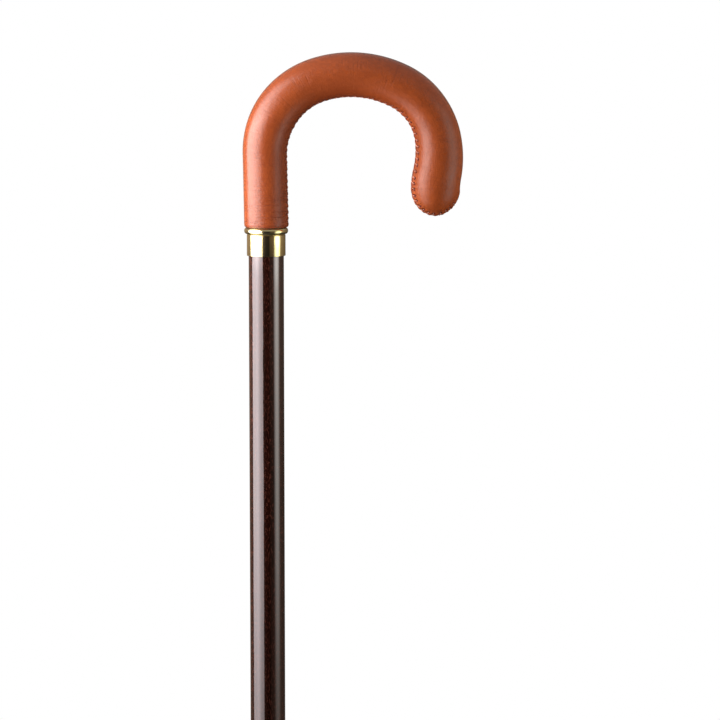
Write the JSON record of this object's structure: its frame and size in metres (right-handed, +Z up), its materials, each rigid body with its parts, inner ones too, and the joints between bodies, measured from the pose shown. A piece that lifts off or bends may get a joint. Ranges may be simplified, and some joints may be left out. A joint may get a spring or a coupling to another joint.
{
  "type": "crook walking stick",
  "caption": "Walking stick with a bent crook handle in stitched tan leather, a brass collar, a dark lacquered shaft and a rubber ferrule.",
  "frame": {"origin": "centre of the ferrule's sole, on the shaft's axis", "axes": "+Z up along the shaft, +X from the shaft towards the nose of the crook, +Y across the crook's plane"},
  "size_m": [0.127, 0.031, 0.9222],
  "materials": {
    "tan_leather": "smooth tan, lightly polished",
    "waxed_thread": "waxed tan brown",
    "polished_brass": "polished",
    "dark_lacquer": "rosewood stain under gloss lacquer",
    "bare_beech": "bare",
    "black_rubber": "matt",
    "zinc_steel": "zinc plated"
  },
  "bodies": {
    "root": {"leather_cover": "tan_leather", "seam_thread": "waxed_thread", "crook_core": "bare_beech", "collar": "polished_brass", "joint_stud": "zinc_steel", "shaft": "dark_lacquer", "ferrule_washer": "zinc_steel", "ferrule": "black_rubber"}
  },
  "joints": []
}
